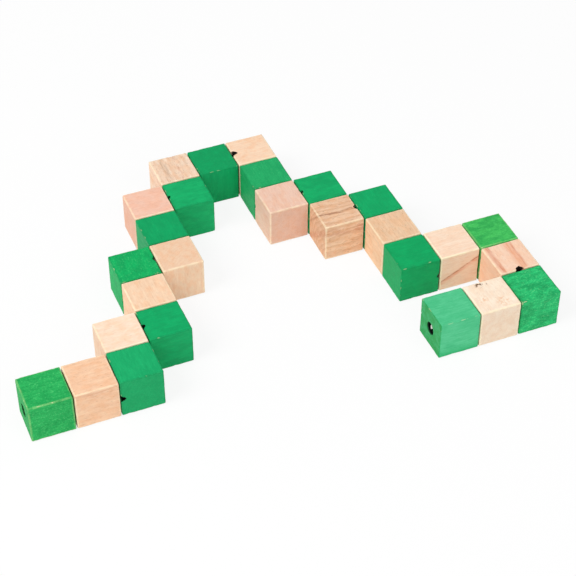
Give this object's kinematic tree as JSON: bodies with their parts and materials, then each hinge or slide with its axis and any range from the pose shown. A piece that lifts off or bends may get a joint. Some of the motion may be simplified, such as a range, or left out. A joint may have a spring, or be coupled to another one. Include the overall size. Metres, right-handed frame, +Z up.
{
  "type": "folding wooden cube puzzle",
  "caption": "Chain of bored wooden cubelets, alternately stained and natural, that twist on an elastic cord and fold into one solid cube.",
  "frame": {"origin": "centre of the flat layout's box, on the surface that it rests on", "axes": "+Z up, +X to the right along the first run of the chain, +Y away from the viewer"},
  "size_m": [0.2396, 0.1596, 0.0196],
  "materials": {
    "green_wood": "stained green, satin",
    "natural_wood": "bare sanded",
    "cord": "woven elastic"
  },
  "bodies": {
    "cubelet_01": {"green_cubelet_01": "green_wood", "cord_stretch_01": "cord", "start_knot": "cord"},
    "cubelet_02": {"natural_cubelet_02": "natural_wood", "cord_stretch_02": "cord"},
    "cubelet_03": {"green_cubelet_03": "green_wood", "cord_stretch_03": "cord"},
    "cubelet_04": {"natural_cubelet_04": "natural_wood", "cord_stretch_04": "cord"},
    "cubelet_05": {"green_cubelet_05": "green_wood", "cord_stretch_05": "cord"},
    "cubelet_06": {"natural_cubelet_06": "natural_wood", "cord_stretch_06": "cord"},
    "cubelet_07": {"green_cubelet_07": "green_wood", "cord_stretch_07": "cord"},
    "cubelet_08": {"natural_cubelet_08": "natural_wood", "cord_stretch_08": "cord"},
    "cubelet_09": {"green_cubelet_09": "green_wood", "cord_stretch_09": "cord"},
    "cubelet_10": {"natural_cubelet_10": "natural_wood", "cord_stretch_10": "cord"},
    "cubelet_11": {"green_cubelet_11": "green_wood", "cord_stretch_11": "cord"},
    "cubelet_12": {"natural_cubelet_12": "natural_wood", "cord_stretch_12": "cord"},
    "cubelet_13": {"green_cubelet_13": "green_wood", "cord_stretch_13": "cord"},
    "cubelet_14": {"natural_cubelet_14": "natural_wood", "cord_stretch_14": "cord"},
    "cubelet_15": {"green_cubelet_15": "green_wood", "cord_stretch_15": "cord"},
    "cubelet_16": {"natural_cubelet_16": "natural_wood", "cord_stretch_16": "cord"},
    "cubelet_17": {"green_cubelet_17": "green_wood", "cord_stretch_17": "cord"},
    "cubelet_18": {"natural_cubelet_18": "natural_wood", "cord_stretch_18": "cord"},
    "cubelet_19": {"green_cubelet_19": "green_wood", "cord_stretch_19": "cord"},
    "cubelet_20": {"natural_cubelet_20": "natural_wood", "cord_stretch_20": "cord"},
    "cubelet_21": {"green_cubelet_21": "green_wood", "cord_stretch_21": "cord"},
    "cubelet_22": {"natural_cubelet_22": "natural_wood", "cord_stretch_22": "cord"},
    "cubelet_23": {"green_cubelet_23": "green_wood", "cord_stretch_23": "cord"},
    "cubelet_24": {"natural_cubelet_24": "natural_wood", "cord_stretch_24": "cord"},
    "cubelet_25": {"green_cubelet_25": "green_wood", "cord_stretch_25": "cord"},
    "cubelet_26": {"natural_cubelet_26": "natural_wood", "cord_stretch_26": "cord"},
    "cubelet_27": {"green_cubelet_27": "green_wood", "cord_stretch_27": "cord", "end_knot": "cord"}
  },
  "joints": [
    {"name": "twist_01_02", "type": "hinge", "parent": "cubelet_02", "child": "cubelet_01", "pos_m": [0.08, -0.07, 0.0098], "axis": [-1, 0, 0], "range_deg": [-135, 90]},
    {"name": "twist_02_03", "type": "hinge", "parent": "cubelet_03", "child": "cubelet_02", "pos_m": [0.1, -0.07, 0.0098], "axis": [-1, 0, 0], "range_deg": [-180, 90]},
    {"name": "twist_03_04", "type": "hinge", "parent": "cubelet_04", "child": "cubelet_03", "pos_m": [0.11, -0.06, 0.0098], "axis": [0, -1, 0], "range_deg": [-135, 90]},
    {"name": "twist_04_05", "type": "hinge", "parent": "cubelet_05", "child": "cubelet_04", "pos_m": [0.11, -0.04, 0.0098], "axis": [0, 1, 0], "range_deg": [-60, 90]},
    {"name": "twist_05_06", "type": "hinge", "parent": "cubelet_06", "child": "cubelet_05", "pos_m": [0.1, -0.03, 0.0098], "axis": [1, 0, 0], "range_deg": [-90, 90]},
    {"name": "twist_06_07", "type": "hinge", "parent": "cubelet_07", "child": "cubelet_06", "pos_m": [0.08, -0.03, 0.0098], "axis": [1, 0, 0], "range_deg": [-90, 0]},
    {"name": "twist_07_08", "type": "hinge", "parent": "cubelet_08", "child": "cubelet_07", "pos_m": [0.07, -0.02, 0.0098], "axis": [0, -1, 0], "range_deg": [-120, 90]},
    {"name": "twist_08_09", "type": "hinge", "parent": "cubelet_09", "child": "cubelet_08", "pos_m": [0.07, 0, 0.0098], "axis": [0, -1, 0], "range_deg": [-150, 90]},
    {"name": "twist_09_10", "type": "hinge", "parent": "cubelet_10", "child": "cubelet_09", "pos_m": [0.06, 0.01, 0.0098], "axis": [1, 0, 0], "range_deg": [-90, 180]},
    {"name": "twist_10_11", "type": "hinge", "parent": "cubelet_11", "child": "cubelet_10", "pos_m": [0.05, 0.02, 0.0098], "axis": [0, -1, 0], "range_deg": [-45, 0]},
    {"name": "twist_11_12", "type": "hinge", "parent": "cubelet_12", "child": "cubelet_11", "pos_m": [0.04, 0.03, 0.0098], "axis": [1, 0, 0], "range_deg": [-90, 90]},
    {"name": "twist_12_13", "type": "hinge", "parent": "cubelet_13", "child": "cubelet_12", "pos_m": [0.03, 0.04, 0.0098], "axis": [0, -1, 0], "range_deg": [-135, 90]},
    {"name": "twist_13_14", "type": "hinge", "parent": "cubelet_14", "child": "cubelet_13", "pos_m": [0.03, 0.06, 0.0098], "axis": [0, -1, 0], "range_deg": [-90, 90]},
    {"name": "twist_14_15", "type": "hinge", "parent": "cubelet_15", "child": "cubelet_14", "pos_m": [0.02, 0.07, 0.0098], "axis": [1, 0, 0], "range_deg": [-120, 180]},
    {"name": "twist_15_16", "type": "hinge", "parent": "cubelet_16", "child": "cubelet_15", "pos_m": [0, 0.07, 0.0098], "axis": [-1, 0, 0], "range_deg": [-180, 90]},
    {"name": "twist_16_17", "type": "hinge", "parent": "cubelet_17", "child": "cubelet_16", "pos_m": [-0.01, 0.06, 0.0098], "axis": [0, 1, 0], "range_deg": [-90, 90]},
    {"name": "twist_17_18", "type": "hinge", "parent": "cubelet_18", "child": "cubelet_17", "pos_m": [-0.02, 0.05, 0.0098], "axis": [1, 0, 0], "range_deg": [-60, 180]},
    {"name": "twist_18_19", "type": "hinge", "parent": "cubelet_19", "child": "cubelet_18", "pos_m": [-0.03, 0.04, 0.0098], "axis": [0, 1, 0], "range_deg": [-180, 180]},
    {"name": "twist_19_20", "type": "hinge", "parent": "cubelet_20", "child": "cubelet_19", "pos_m": [-0.03, 0.02, 0.0098], "axis": [0, 1, 0], "range_deg": [-90, 90]},
    {"name": "twist_20_21", "type": "hinge", "parent": "cubelet_21", "child": "cubelet_20", "pos_m": [-0.04, 0.01, 0.0098], "axis": [1, 0, 0], "range_deg": [-60, 180]},
    {"name": "twist_21_22", "type": "hinge", "parent": "cubelet_22", "child": "cubelet_21", "pos_m": [-0.05, 0, 0.0098], "axis": [0, 1, 0], "range_deg": [-90, 180]},
    {"name": "twist_22_23", "type": "hinge", "parent": "cubelet_23", "child": "cubelet_22", "pos_m": [-0.05, -0.02, 0.0098], "axis": [0, -1, 0], "range_deg": [-90, 90]},
    {"name": "twist_23_24", "type": "hinge", "parent": "cubelet_24", "child": "cubelet_23", "pos_m": [-0.06, -0.03, 0.0098], "axis": [1, 0, 0], "range_deg": [-180, 90]},
    {"name": "twist_24_25", "type": "hinge", "parent": "cubelet_24", "child": "cubelet_25", "pos_m": [-0.07, -0.04, 0.0098], "axis": [0, -1, 0], "range_deg": [-90, 180]},
    {"name": "twist_25_26", "type": "hinge", "parent": "cubelet_25", "child": "cubelet_26", "pos_m": [-0.08, -0.05, 0.0098], "axis": [-1, 0, 0], "range_deg": [-180, 90]},
    {"name": "twist_26_27", "type": "hinge", "parent": "cubelet_26", "child": "cubelet_27", "pos_m": [-0.1, -0.05, 0.0098], "axis": [-1, 0, 0], "range_deg": [-90, 90]}
  ]
}
